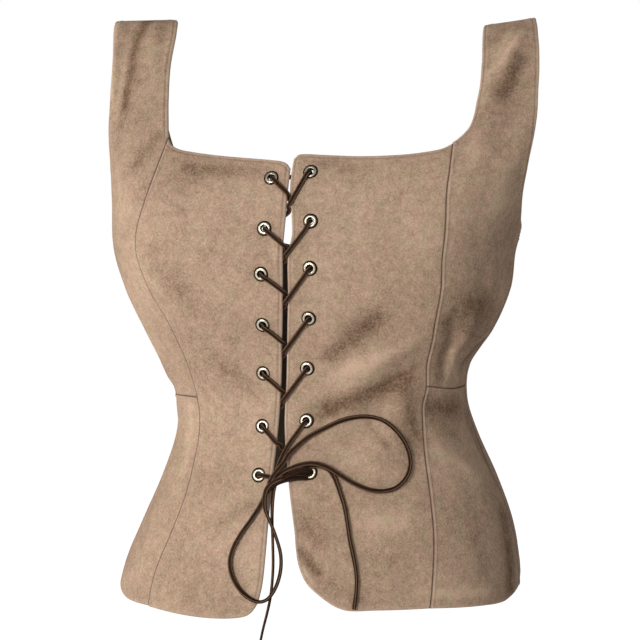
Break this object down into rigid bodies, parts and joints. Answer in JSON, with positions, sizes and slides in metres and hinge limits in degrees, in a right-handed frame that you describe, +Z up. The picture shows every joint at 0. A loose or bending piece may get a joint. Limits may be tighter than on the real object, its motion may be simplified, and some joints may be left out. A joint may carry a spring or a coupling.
{
  "type": "suede vest",
  "caption": "Fitted sleeveless suede vest with a square neck, princess seams, metal eyelets and a brown cord lace tied in a bow at the front.",
  "frame": {"origin": "between the two shoulder straps, level with their tops, where a wearer's shoulders hold the vest", "axes": "+Z up, -Y is the laced front, +X is the right side as seen from the front"},
  "size_m": [0.3884, 0.2426, 0.5323],
  "materials": {
    "suede": "soft matte suede nap, tan-taupe",
    "antique_brass": "satin antique brass with a bright rim",
    "lace_leather": "dark brown matte cord"
  },
  "bodies": {
    "root": {"front_centre_left": "suede", "front_centre_right": "suede", "front_side_upper_left": "suede", "front_side_upper_right": "suede", "front_side_lower_left": "suede", "front_side_lower_right": "suede", "back_left": "suede", "back_right": "suede", "eyelet_left_1": "antique_brass", "eyelet_left_2": "antique_brass", "eyelet_left_3": "antique_brass", "eyelet_left_4": "antique_brass", "eyelet_left_5": "antique_brass", "eyelet_left_6": "antique_brass", "eyelet_left_7": "antique_brass", "eyelet_right_1": "antique_brass", "eyelet_right_2": "antique_brass", "eyelet_right_3": "antique_brass", "eyelet_right_4": "antique_brass", "eyelet_right_5": "antique_brass", "eyelet_right_6": "antique_brass", "eyelet_right_7": "antique_brass", "lace_run_left": "lace_leather", "lace_run_right": "lace_leather", "lace_knot": "lace_leather", "lace_loop_right": "lace_leather", "lace_loop_left": "lace_leather", "lace_tail_right": "lace_leather", "lace_tail_left": "lace_leather"}
  },
  "joints": []
}
